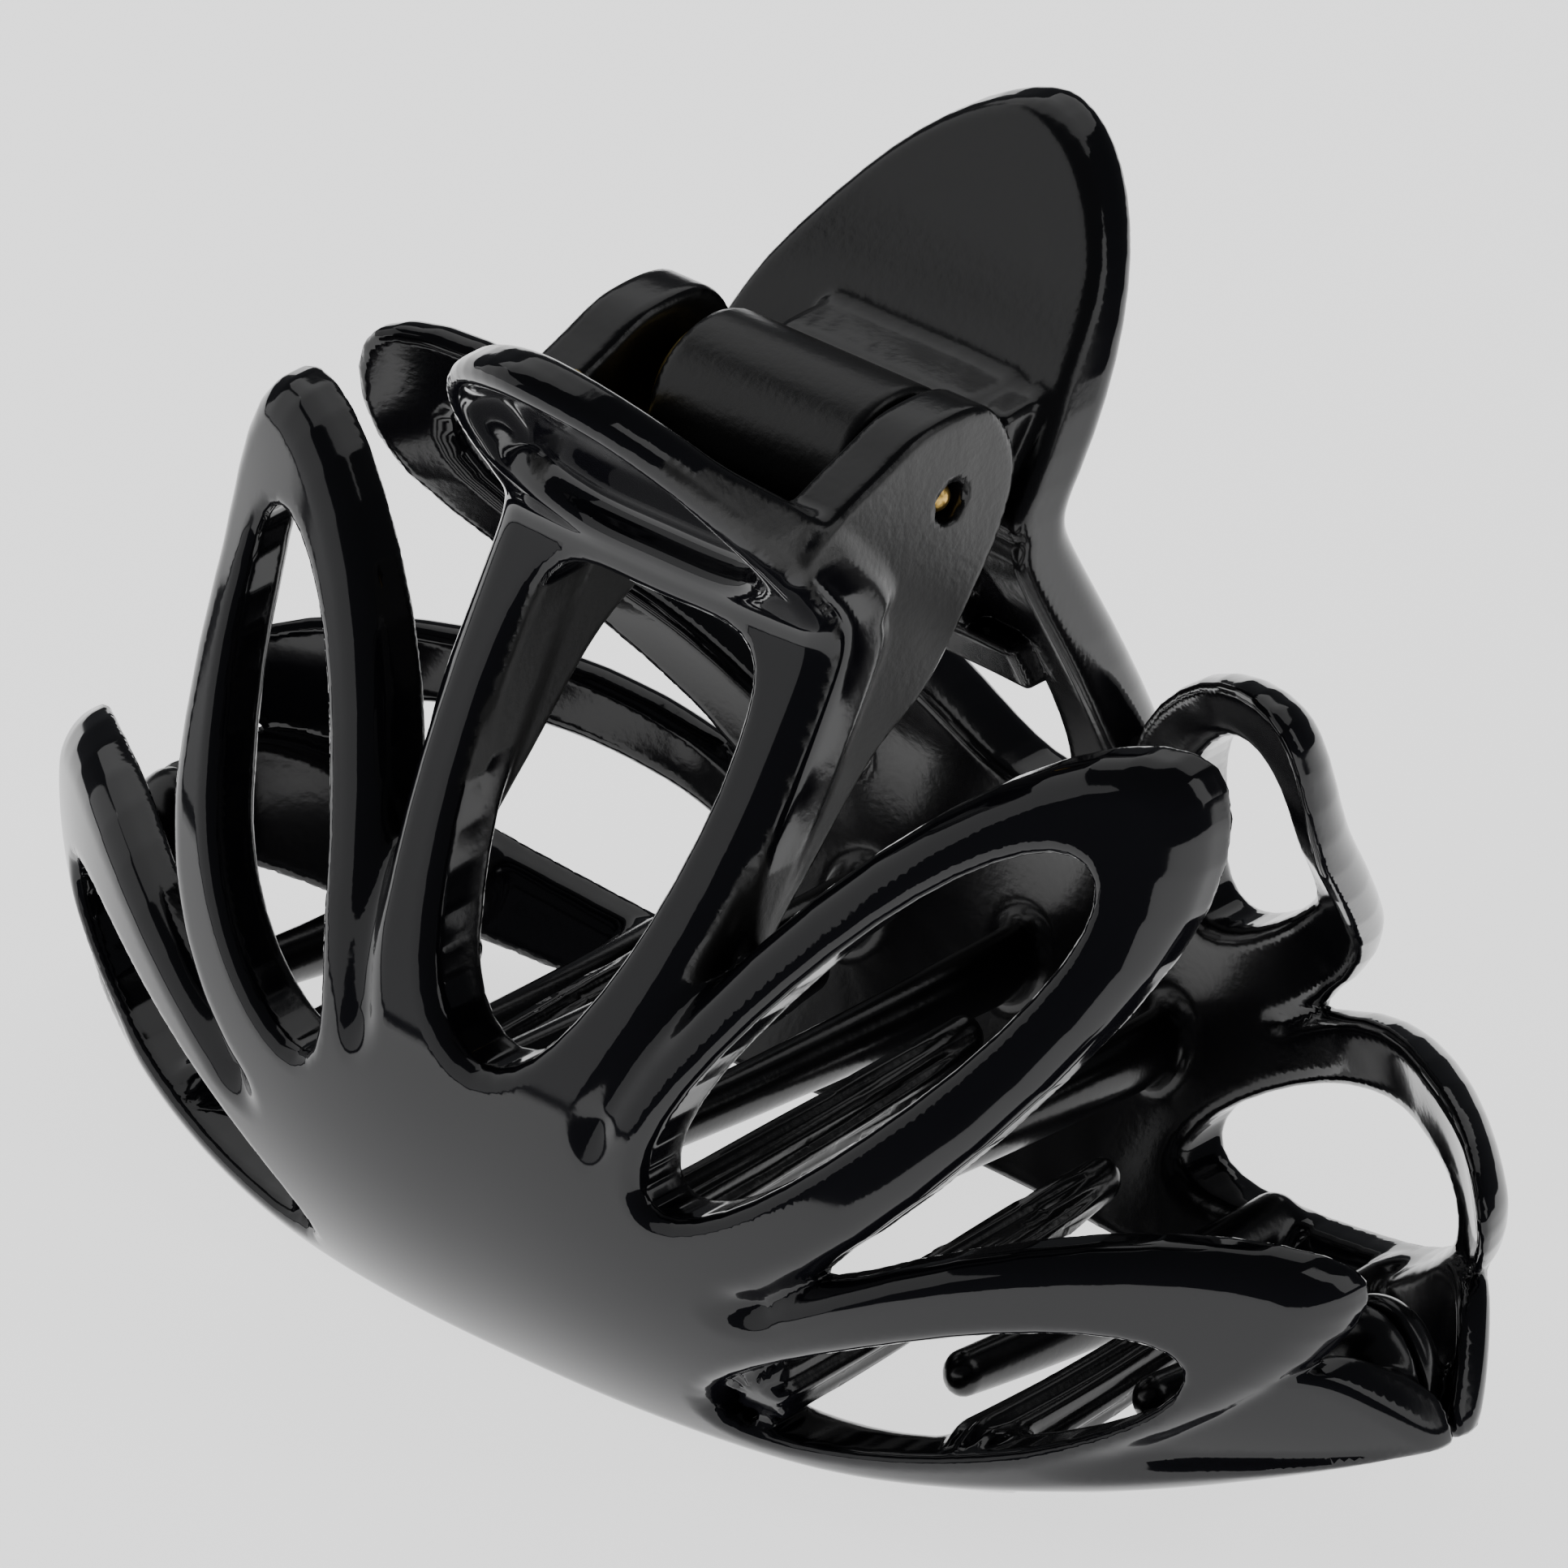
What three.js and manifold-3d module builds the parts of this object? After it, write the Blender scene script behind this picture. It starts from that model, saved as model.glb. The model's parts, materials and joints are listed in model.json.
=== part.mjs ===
// Hair claw clip: two fan-petal jaws hinged on a pin and closed by a torsion spring.
// Millimetres, +Z up. X is the hinge axis, the front jaw faces -Y and the rear jaw faces +Y.
// The origin is at the middle of the base, on the surface that the clip stands on.

import * as THREE from 'three';
import { mergeVertices } from 'three/addons/utils/BufferGeometryUtils.js';
import Module from 'manifold-3d';

const wasm = await Module();
wasm.setup();

// ---- driving dimensions ----
const HALF_LENGTH = 36;            // middle of the clip to the tip of the bottom band
const TOP_HEIGHT = 45.8;            // top of the thumb paddles
const HINGE_HEIGHT = 36.6;         // axis of the pin
const BOWL_DEPTH = 18.7;           // deepest point of a jaw from the parting plane
const BOWL_CENTRE_HEIGHT = 10.6;   // height of that deepest point
const BOWL_RADIUS = 16.5;          // vertical radius of the bowl's section
const SLANT = 0.63;                // how fast the central petal closes in towards the hinge
const SLANT_START = 18.3;          // where the bowl runs into the straight slant
const PADDLE_ROOT_DEPTH = 9.3;     // depth of the thumb paddle at PADDLE_ROOT_HEIGHT
const PADDLE_ROOT_HEIGHT = 36.1;
const PADDLE_LEAN = 0.84;          // depth gained for each millimetre up the paddle
const NECK_ROUNDING = 0.5;         // softness of the fold between slant and paddle
const WALL = 3.4;                  // wall of the middle of a jaw, measured along Y
const END_WALL = 2.6;              // wall of the outer petals
const END_FALL = 15.2;             // how far the face falls back at the tips of the band
const END_CURVE = 2.46;            // power of that fall: 2 is a parabola, more is flatter inside
const UPPER_FLATTENING = 0.34;     // share of the fall that the upper petals and paddles lose
const PARTING_GAP = 0.3;           // each jaw stops this far from the parting plane
const END_RISE = 0.0046;           // how fast the bottom edge rises beyond the foot
const FOOT_HALF = 14;              // half length of the flat foot in the middle of the bottom edge

const FRONT_WINDOW_TOP = 32.1;     // top edge of the central window
const REAR_WINDOW_TOP = 24.6;
const RIB_HALF = 7.4;              // half length of the rib above the rear jaw's window
const RIB_INNER = 8.4;             // its inner side, from the parting plane
const RIB_THICKNESS = 2.6;
const RIB_HEIGHT = 3;
const WEB_DEPTH = 8;               // how far the barrel's web reaches into the rear paddle

const LUG_INNER = 6;               // inner side face of a lug
const LUG_OUTER = 8.6;             // outer side face of a lug
const LUG_RADIUS = 3.8;
const BORE_RADIUS = 0.84;
const PIN_RADIUS = 0.75;
const PIN_HALF = 8.3;
const BARREL_LEFT = -4.3;
const BARREL_RIGHT = 5.7;
const POCKET_RADIUS = 3.15;        // the barrel's left end is hollow and houses the coil
const POCKET_END = -0.9;

const WIRE_RADIUS = 0.38;
const COIL_RADIUS = 2.55;
const COIL_TURNS = 4.25;
const LEG_LENGTH = 7;
const LEG_TILT = 46;                // degrees below level where the leg leaves the coil
const COIL_LEFT = -5.65;
const COIL_RIGHT = -1.2;

const FRONT_TEETH = [4.1, 12.3, 20.5];      // each on both sides of the middle
const REAR_TEETH = [0, 8.2, 16.4, 24.6];
const TOOTH_WIDTH = 2.3;
const TOOTH_ROOT_HEIGHT = 7.2;     // height of the middle teeth where they leave the jaw
const TOOTH_RISE = 1;              // from root to tip
const TOOTH_THICKNESS = 2.4;
const TIP_TAPER = 0.45;            // thickness of a tooth's tip as a share of its root
const FRONT_TOOTH_REACH = 0.45;    // share of the way across to the other jaw's inner face
const REAR_TOOTH_REACH = 0.65;

// ---- the shape of a jaw's outer face ----

function smoothMax(a, b, softness) {
  return softness * Math.log(Math.exp(a / softness) + Math.exp(b / softness));
}

// Depth of the outer face at the middle of the jaw, for a height above the base.
function middleDepth(z) {
  const s = (Math.min(z, SLANT_START) - BOWL_CENTRE_HEIGHT) / BOWL_RADIUS;
  const bowl = BOWL_DEPTH * Math.sqrt(1 - s * s);
  const slant = bowl - SLANT * Math.max(0, z - SLANT_START);
  const paddle = PADDLE_ROOT_DEPTH + PADDLE_LEAN * (z - PADDLE_ROOT_HEIGHT);
  return smoothMax(slant, paddle, NECK_ROUNDING);
}

// Depth of the outer face anywhere; it falls back towards both ends of the clip.
function depth(x, z) {
  const fall = END_FALL * Math.pow(Math.abs(x) / HALF_LENGTH, END_CURVE);
  return middleDepth(z) - fall * (1 - UPPER_FLATTENING * THREE.MathUtils.smoothstep(z, 24, 34));
}

function wall(x) {
  return WALL + (END_WALL - WALL) * THREE.MathUtils.smoothstep(Math.abs(x), 12, 20);
}

function bottomEdge(x) {
  return Math.max(0, END_RISE * (x * x - FOOT_HALF * FOOT_HALF));
}

// ---- solids ----

function toSolid(geometry) {
  const plain = geometry.index ? geometry.toNonIndexed() : geometry.clone();
  plain.deleteAttribute('normal');
  plain.deleteAttribute('uv');
  const merged = mergeVertices(plain, 1e-4);
  return new wasm.Manifold(new wasm.Mesh({
    numProp: 3,
    vertProperties: new Float32Array(merged.attributes.position.array),
    triVerts: new Uint32Array(merged.index.array),
  }));
}

function toGeometry(solid) {
  const mesh = solid.getMesh();
  const geometry = new THREE.BufferGeometry();
  geometry.setAttribute('position', new THREE.BufferAttribute(mesh.vertProperties, 3));
  geometry.setIndex(new THREE.BufferAttribute(mesh.triVerts, 1));
  geometry.computeVertexNormals();
  return geometry;
}

function union(solids) {
  return solids.reduce((all, next) => all.add(next));
}

// A closed outline in X and Z, pushed right through the jaw along Y.
function prismAlongY(points, from, to) {
  const shape = new THREE.Shape(points);
  const geometry = new THREE.ExtrudeGeometry(shape, { depth: to - from, bevelEnabled: false });
  geometry.rotateX(Math.PI / 2);
  geometry.translate(0, to, 0);
  return toSolid(geometry);
}

// A closed outline in Y and Z, pushed along X.
function plateAlongX(shape, from, to, curveSegments = 10) {
  const settings = { depth: to - from, bevelEnabled: false, curveSegments };
  const geometry = new THREE.ExtrudeGeometry(shape, settings);
  geometry.rotateY(Math.PI / 2);
  geometry.rotateX(Math.PI / 2);
  geometry.translate(from, 0, 0);
  return toSolid(geometry);
}

function rodAlongX(radius, from, to, sides) {
  const geometry = new THREE.CylinderGeometry(radius, radius, to - from, sides);
  geometry.rotateZ(Math.PI / 2);
  geometry.translate((from + to) / 2, 0, HINGE_HEIGHT);
  return toSolid(geometry);
}

// ---- outlines in X and Z ----

// A petal-shaped outline. It starts at `base`, is widest at `widest` of its length and tapers
// to a round tip; `blunt` is 0.5 for an elliptical tip and more for a sharper one.
function petal(base, tip, halfWidth, widest, blunt, steps = 9) {
  const axis = new THREE.Vector2().subVectors(tip, base);
  const length = axis.length();
  axis.normalize();
  const side = new THREE.Vector2(axis.y, -axis.x);
  const outline = (sign) => {
    const points = [];
    for (let i = 0; i <= steps; i += 1) {
      const s = 0.5 - 0.5 * Math.cos(Math.PI * i / steps);
      const span = s < widest ? (widest - s) / widest : (s - widest) / (1 - widest);
      const half = halfWidth * Math.pow(Math.max(0, 1 - span * span), blunt);
      points.push(base.clone()
        .addScaledVector(axis, s * length)
        .addScaledVector(side, sign * half));
    }
    return points;
  };
  const right = outline(1);
  const left = outline(-1).reverse();
  return right.concat(left.slice(1, -1));
}

const at = (x, z) => new THREE.Vector2(x, z);
const PETAL_1 = { base: at(6.9, 8), tip: at(24.1, 31.4), halfWidth: 6.1, widest: 0.5 };
const PETAL_2 = { base: at(10, 3.2), tip: at(33.8, 12.6), halfWidth: 4.9, widest: 0.52 };
const PETAL_3 = { base: at(31.4, 3), tip: at(32.4, 9.3), halfWidth: 2.6, widest: 0.5 };
const WINDOW_1 = { base: at(9, 12.3), tip: at(21.5, 27.7), halfWidth: 3.3, widest: 0.56 };
const WINDOW_2 = { base: at(10.6, 2.9), tip: at(29.3, 9.5), halfWidth: 2.8, widest: 0.6 };

function mirrored(points) {
  return points.map((p) => at(-p.x, p.y)).reverse();
}

// The central petal: a tulip from the band up to the neck, then the rounded thumb paddle.
function centralOutline() {
  const side = new THREE.Path();
  side.moveTo(4.6, 12.5);
  side.bezierCurveTo(6.6, 18, 8.7, 23, 8.9, 29);
  const lower = side.getPoints(6);
  const paddleStart = 33.8;
  const upper = [];
  const steps = 8;
  for (let i = 0; i <= steps; i += 1) {
    const s = Math.sin(0.5 * Math.PI * i / steps);
    const halfWidth = 8.9 * Math.pow(1 - s * s, 0.58);
    upper.push(at(halfWidth, paddleStart + s * (TOP_HEIGHT - paddleStart)));
  }
  const right = lower.concat(upper);
  return right.concat(mirrored(right).slice(1));
}

// The window of the central petal, with its top edge at `top`.
function centralWindow(top) {
  const side = new THREE.Path();
  side.moveTo(0, 14.8);
  side.bezierCurveTo(3.2, 15.6, 6, 21, 6.1, Math.min(29, top - 1.5));
  side.quadraticCurveTo(6.1, top, 0, top);
  const right = side.getPoints(6);
  return right.slice(1, -1).concat(mirrored(right));
}

// The crescent band that carries the petals. Its ends fill the corner below the lower petals.
function bandOutline() {
  const steps = 14;
  const lower = [];
  for (let i = 0; i <= steps; i += 1) {
    const x = HALF_LENGTH * Math.sin(Math.PI * (i / steps - 0.5));
    lower.push(at(x, bottomEdge(x)));
  }
  const top = new THREE.Path();
  top.moveTo(HALF_LENGTH, bottomEdge(HALF_LENGTH) + 0.6);
  top.quadraticCurveTo(34, 9.5, 29.5, 8.2);
  top.quadraticCurveTo(23, 5, 14.5, 9);
  top.quadraticCurveTo(10, 13, 5, 16);
  const right = top.getPoints(4);
  return lower.concat(right, [at(0, 15.3)], mirrored(right));
}

// ---- the shell ----

// A slab bent to the jaw's outer face; `thickness` gives its thickness along Y at each x.
function shell(thickness) {
  const low = -1;
  const high = TOP_HEIGHT + 1;
  const slab = new THREE.BoxGeometry(2 * HALF_LENGTH + 2, 1, high - low, 22, 1, 22);
  const place = slab.attributes.position;
  for (let i = 0; i < place.count; i += 1) {
    const x = place.getX(i);
    const z = place.getZ(i) + (high + low) / 2;
    const inner = place.getY(i) > 0;
    const face = -depth(x, z);
    place.setXYZ(i, x, inner ? face + thickness(x) : face, z);
  }
  return toSolid(slab);
}

function boxSolid(min, max) {
  const geometry = new THREE.BoxGeometry(max[0] - min[0], max[1] - min[1], max[2] - min[2]);
  geometry.translate((max[0] + min[0]) / 2, (max[1] + min[1]) / 2, (max[2] + min[2]) / 2);
  return toSolid(geometry);
}

function fan(windowTop) {
  const through = [-40, 10];
  const pair = (points) => [
    prismAlongY(points, ...through),
    prismAlongY(mirrored(points), ...through),
  ];
  const leaf = (p, blunt) => petal(p.base, p.tip, p.halfWidth, p.widest, blunt);
  const solidParts = union([
    prismAlongY(bandOutline(), ...through),
    prismAlongY(centralOutline(), ...through),
    ...pair(leaf(PETAL_1, 0.55)),
    ...pair(leaf(PETAL_2, 0.55)),
  ]);
  const windows = union([
    prismAlongY(centralWindow(windowTop), ...through),
    ...pair(leaf(WINDOW_1, 0.5)),
    ...pair(leaf(WINDOW_2, 0.5)),
  ]);
  return shell(wall).intersect(solidParts.subtract(windows));
}

// The small end petals fill the space between the ends of the band and the parting plane.
function endPetals() {
  const points = petal(PETAL_3.base, PETAL_3.tip, PETAL_3.halfWidth, PETAL_3.widest, 0.5, 7);
  const reach = 5;
  const outer = shell(() => WALL + reach);
  return [points, mirrored(points)].map(
    (outline) => prismAlongY(outline, -PARTING_GAP - reach, -PARTING_GAP).intersect(outer),
  );
}

// ---- teeth ----

// The outer teeth leave the jaw lower down, from the strip of band below window 2.
function toothRootHeight(x) {
  const outer = bottomEdge(x) + TOOTH_THICKNESS / 2 + 0.3;
  const t = THREE.MathUtils.smoothstep(Math.abs(x), 6, 18);
  return TOOTH_ROOT_HEIGHT + (outer - TOOTH_ROOT_HEIGHT) * t;
}

function teeth(places, reach) {
  const solids = [];
  for (const x of places.flatMap((p) => (p === 0 ? [0] : [-p, p]))) {
    const rootHeight = toothRootHeight(x);
    const inner = depth(x, rootHeight) - wall(x);
    const root = -(inner + wall(x) / 2);
    const tip = inner * reach;
    const tipHeight = rootHeight + TOOTH_RISE;
    const half = TOOTH_THICKNESS / 2;
    const side = new THREE.Shape();
    side.moveTo(root, rootHeight - half);
    side.quadraticCurveTo((root + tip) / 2, rootHeight - half, tip, tipHeight - half * TIP_TAPER);
    side.lineTo(tip, tipHeight + half * TIP_TAPER);
    side.quadraticCurveTo((root + tip) / 2, rootHeight + half, root, rootHeight + half);
    solids.push(plateAlongX(side, x - TOOTH_WIDTH / 2, x + TOOTH_WIDTH / 2, 4));
  }
  return solids;
}

// ---- hinge parts ----

// A lug: a disc round the pin that runs forward into the paddle and down the leg as a rib.
function lugOutline() {
  const shape = new THREE.Shape();
  const z = HINGE_HEIGHT;
  shape.moveTo(-9.0, z - 13.4);
  shape.lineTo(-4.2, z - 9);
  shape.lineTo(0, z - 7.2);
  shape.lineTo(0.4, z - 5);
  shape.absarc(0, z, LUG_RADIUS, -0.9, Math.PI / 2, false);
  shape.lineTo(-6.6, z + 1.7);
  shape.lineTo(-6.2, z - 3.4);
  shape.lineTo(-9.6, z - 8.6);
  shape.lineTo(-11.2, z - 13.6);
  return shape;
}

function lugs() {
  return [
    plateAlongX(lugOutline(), LUG_INNER, LUG_OUTER),
    plateAlongX(lugOutline(), -LUG_OUTER, -LUG_INNER),
  ];
}

// The barrel, its web to the paddle and the ledge across the paddle's root (on the rear jaw).
function barrelAndWeb() {
  const z = HINGE_HEIGHT;
  const ledgeStart = LUG_RADIUS + 0.6;
  return [
    rodAlongX(LUG_RADIUS, BARREL_LEFT, BARREL_RIGHT, 28),
    boxSolid([BARREL_LEFT, LUG_RADIUS / 2, z - 3], [BARREL_RIGHT, WEB_DEPTH, z + 2]),
    boxSolid([BARREL_LEFT, ledgeStart, z - 2.6], [RIB_HALF, WEB_DEPTH, z + 2]),
  ];
}

// The rib across the rear jaw's closed panel, above its shorter window.
function crossRib() {
  const outer = RIB_INNER + RIB_THICKNESS;
  const top = REAR_WINDOW_TOP + RIB_HEIGHT;
  return boxSolid([-RIB_HALF, RIB_INNER, REAR_WINDOW_TOP], [RIB_HALF, outer, top]);
}

// ---- the four pieces ----

const clearOfParting = () => boxSolid([-50, -40, -5], [50, -PARTING_GAP, TOP_HEIGHT + 5]);
const bore = () => rodAlongX(BORE_RADIUS, -LUG_OUTER - 2, LUG_OUTER + 2, 20);
const pocket = () => rodAlongX(POCKET_RADIUS, BARREL_LEFT - 1, POCKET_END, 28);

function frontJaw() {
  const outside = fan(FRONT_WINDOW_TOP).intersect(clearOfParting());
  return union([outside, ...endPetals(), ...lugs(), ...teeth(FRONT_TEETH, FRONT_TOOTH_REACH)])
    .subtract(bore());
}

function rearJaw() {
  const outside = fan(REAR_WINDOW_TOP).intersect(clearOfParting());
  const facingFront = union([outside, ...endPetals(), ...teeth(REAR_TEETH, REAR_TOOTH_REACH)]);
  const turned = toGeometry(facingFront).rotateZ(Math.PI);
  return union([toSolid(turned), ...barrelAndWeb(), crossRib()])
    .subtract(bore().add(pocket()));
}

// The spring: a coil round the pin. Its straight leg lies behind the front paddle's root, and
// its other end sits in the pocket of the barrel.
class SpringPath extends THREE.Curve {
  constructor() {
    super();
    this.start = Math.PI + THREE.MathUtils.degToRad(LEG_TILT);
    this.sweep = 2 * Math.PI * COIL_TURNS;
    this.coilLength = COIL_RADIUS * this.sweep;
  }

  onCoil(t) {
    const angle = this.start + this.sweep * t;
    return new THREE.Vector3(
      COIL_LEFT + WIRE_RADIUS + t * (COIL_RIGHT - COIL_LEFT - 2 * WIRE_RADIUS),
      COIL_RADIUS * Math.cos(angle),
      HINGE_HEIGHT + COIL_RADIUS * Math.sin(angle),
    );
  }

  getPoint(t, target = new THREE.Vector3()) {
    const along = t * (this.coilLength + LEG_LENGTH) - LEG_LENGTH;
    if (along < 0) {
      const tangent = new THREE.Vector3(0, -Math.sin(this.start), Math.cos(this.start));
      return target.copy(this.onCoil(0)).addScaledVector(tangent, along);
    }
    return target.copy(this.onCoil(along / this.coilLength));
  }
}

function torsionSpring() {
  const section = new THREE.Shape();
  section.absarc(0, 0, WIRE_RADIUS, 0, 2 * Math.PI, false);
  return toSolid(new THREE.ExtrudeGeometry(section, {
    extrudePath: new SpringPath(),
    steps: 84,
    curveSegments: 3,
    bevelEnabled: false,
  }));
}

const group = new THREE.Group();

function addPiece(name, solid, colour, roughness, metalness) {
  const material = new THREE.MeshStandardMaterial({ color: colour, roughness, metalness });
  const mesh = new THREE.Mesh(toGeometry(solid), material);
  mesh.name = name;
  group.add(mesh);
}

addPiece('front_jaw', frontJaw(), 0x0b0b0d, 0.12, 0);
addPiece('rear_jaw', rearJaw(), 0x0b0b0d, 0.12, 0);
addPiece('hinge_pin', rodAlongX(PIN_RADIUS, -PIN_HALF, PIN_HALF, 20), 0xb8963c, 0.3, 1);
addPiece('torsion_spring', torsionSpring(), 0xc8a13f, 0.25, 1);

export default group;
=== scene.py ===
# Looks for the hair claw clip: glossy moulded jaws, a pin and a spring, on a pale floor.
# The jaws are modelled as smooth solids: a plan outline is pushed through a curved wall, its edges
# are rounded, and the pieces are blended together. Lengths inside the shape code are millimetres.

import json
import math
import bpy
import numpy as np
from mathutils import Matrix, Vector


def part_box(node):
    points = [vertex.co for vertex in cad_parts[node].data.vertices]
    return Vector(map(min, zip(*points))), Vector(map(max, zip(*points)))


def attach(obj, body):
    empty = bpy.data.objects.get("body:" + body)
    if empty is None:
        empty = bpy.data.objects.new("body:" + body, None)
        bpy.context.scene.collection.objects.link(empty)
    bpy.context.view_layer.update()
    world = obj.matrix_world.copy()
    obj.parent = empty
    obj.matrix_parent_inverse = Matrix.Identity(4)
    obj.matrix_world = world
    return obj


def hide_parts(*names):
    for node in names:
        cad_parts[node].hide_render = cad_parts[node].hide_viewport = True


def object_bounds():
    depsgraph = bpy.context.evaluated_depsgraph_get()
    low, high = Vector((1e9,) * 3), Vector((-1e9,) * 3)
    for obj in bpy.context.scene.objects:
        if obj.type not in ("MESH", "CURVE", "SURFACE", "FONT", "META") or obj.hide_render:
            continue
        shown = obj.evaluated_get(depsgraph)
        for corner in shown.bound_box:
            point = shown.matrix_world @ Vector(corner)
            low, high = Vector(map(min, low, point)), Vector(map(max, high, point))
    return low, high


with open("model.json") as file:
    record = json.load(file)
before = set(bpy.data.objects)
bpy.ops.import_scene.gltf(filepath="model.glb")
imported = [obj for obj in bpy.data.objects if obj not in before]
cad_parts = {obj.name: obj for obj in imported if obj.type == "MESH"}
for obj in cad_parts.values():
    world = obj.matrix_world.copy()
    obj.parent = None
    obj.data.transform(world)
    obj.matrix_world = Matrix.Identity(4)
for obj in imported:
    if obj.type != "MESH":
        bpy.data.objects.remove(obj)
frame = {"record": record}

MM = 0.001
CAD_LOW, CAD_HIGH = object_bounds()
HINGE = frame["record"]["behaviour"]["joints"][0]["pos_m"][2] / MM
HALF_LENGTH = CAD_HIGH.x / MM
TOP = CAD_HIGH.z / MM
BOWL_DEPTH = CAD_HIGH.y / MM
PITCH = 0.28

# ---- the wall of a jaw; Y here is the distance out from the parting plane ----

BOWL_CENTRE = 10.6
BOWL_RADIUS = 16.5
SLANT = 0.63
SLANT_START = 18.3
PADDLE_DEPTH = 9.5
PADDLE_THINNING = 0.8
PADDLE_START = 36.1
PADDLE_LEAN = 0.84
WALL = 3.2
FRONT_END_WALL = 2.6
REAR_END_WALL = 2.0
END_FALL = 15.2
END_CURVE = 2.46
UPPER_FLATTENING = 0.34
TIP_THINNING = 0.5
ROUND_OUT = 1.3
ROUND_IN = 0.5
RIM_ROUND = 0.7
NOTCH_ROUND = 1.2
DISH_DEPTH = 1.5
DISH_ROUND = 1.1
TAIL_SINK = 0.7
PARTING_GAP = 0.15
END_RISE = 0.0046
FOOT_HALF = 14
NECK_SOFTNESS = 1.2
END_WALL_SPAN = (8, 18)
TIP_SPAN = (25, 32)
FLATTENING_SPAN = (24, 34)
THIN_PADDLE_SPAN = (38, 42)
PADDLE_WIDEST = 33.8
PADDLE_HALF = 8.9
PADDLE_BLUNT = 0.58
PADDLE_TOP = TOP - 0.1

# ---- hinge, teeth and the small end petals ----

LUG_MIDDLE = 7.3
LUG_HALF = 1.3
LUG_OUTER = LUG_MIDDLE + LUG_HALF
BORE = 0.86
BARREL = (-4.3, 5.7)
BARREL_RADIUS = 3.8
POCKET_RADIUS = 3.15
POCKET_END = -0.9
FRONT_TEETH = (4.1, 12.3, 20.5)
REAR_TEETH = (0, 8.2, 16.4, 24.6)
FRONT_TOOTH_REACH = 0.45
REAR_TOOTH_REACH = 0.65
TOOTH_RADIUS = 1.3
TOOTH_TAPER = 0.45
TOOTH_ROOT = 2.2
TOOTH_RISE = 1.1
TOOTH_HEIGHT_SCALE = 0.85
TOOTH_RIBS = 8
RIB_DEPTH = 0.13
MIDDLE_TOOTH_HEIGHT = 7
OUTER_TOOTH_HEIGHT = 1.6
TOOTH_DROP_SPAN = (6, 18)
END_PETAL_CENTRE = (31.6, 0.4, 6.2)
END_PETAL_RADII = (2.7, 2, 3.4)
END_PETAL_SCALE = 2.2

# ---- the closure of the rear window: depths are measured inward from the outer face ----

REAR_WINDOW_TOP = 24.6
PANEL_DEPTH = 2.3
PANEL_HALF = 0.75
BAR_DEPTH = 2.9
BAR_HALF_DEPTH = 1.5
BAR_HALF_HEIGHT = 1.3
BLOCK_CENTRE = (3.2, REAR_WINDOW_TOP + 3.4, -3)
BLOCK_HALF = (1.3, 0.7, 1.3)

# ---- the web and the ledge that join the barrel to the rear paddle ----

BARREL_MIDDLE = (BARREL[0] + BARREL[1]) / 2
BARREL_HALF = (BARREL[1] - BARREL[0]) / 2
WEB_CENTRE = (BARREL_MIDDLE, 5, HINGE - 0.7)
WEB_HALF = (BARREL_HALF, 3, 2.4)
LEDGE_CENTRE = (1.6, 6.2, HINGE - 0.5)
LEDGE_HALF = (5.9, 1.9, 2.1)


def smoothstep(v, low, high):
    t = np.clip((v - low) / (high - low), 0, 1)
    return t * t * (3 - 2 * t)


def round_max(a, b, radius):
    """Intersection of two fields with its edge rounded to a radius."""
    u = np.maximum(a + radius, 0)
    v = np.maximum(b + radius, 0)
    return np.minimum(np.maximum(a, b), -radius) + np.hypot(u, v)


def round_min(a, b, radius):
    """Union of two fields with a fillet of that radius."""
    return -round_max(-a, -b, radius)


def outer_depth(x, z):
    s = (np.minimum(z, SLANT_START) - BOWL_CENTRE) / BOWL_RADIUS
    bowl = BOWL_DEPTH * np.sqrt(np.maximum(0.02, 1 - s * s))
    slant = bowl - SLANT * np.maximum(0, z - SLANT_START)
    paddle = PADDLE_DEPTH + PADDLE_LEAN * (z - PADDLE_START)
    middle = 0.5 * (slant + paddle + np.sqrt((slant - paddle) ** 2 + NECK_SOFTNESS))
    fall = END_FALL * (np.abs(x) / HALF_LENGTH) ** END_CURVE
    return middle - fall * (1 - UPPER_FLATTENING * smoothstep(z, *FLATTENING_SPAN))


def outside_wall(x, y, z):
    """Distance outside the outer face, negative inside it."""
    step = 0.2
    depth = outer_depth(x, z)
    slope_x = (outer_depth(x + step, z) - depth) / step
    slope_z = (outer_depth(x, z + step) - depth) / step
    return (y - depth) / np.sqrt(1 + slope_x ** 2 + slope_z ** 2)


# ---- outlines ----

def smooth_loop(points, samples=10):
    """A closed smooth curve through a few points."""
    p = np.array(points, float)
    a, b, c, d = np.roll(p, 1, 0), p, np.roll(p, -1, 0), np.roll(p, -2, 0)
    out = []
    for t in np.arange(samples) / samples:
        out.append(0.5 * (2 * b + (c - a) * t + (2 * a - 5 * b + 4 * c - d) * t ** 2
                          + (3 * b - a - 3 * c + d) * t ** 3))
    return np.stack(out, 1).reshape(-1, 2)


def both_sides(points):
    """Right-hand points from bottom to top, then the same ones mirrored back down."""
    return points + [(-x, z) for x, z in reversed(points) if x > 0]


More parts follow.
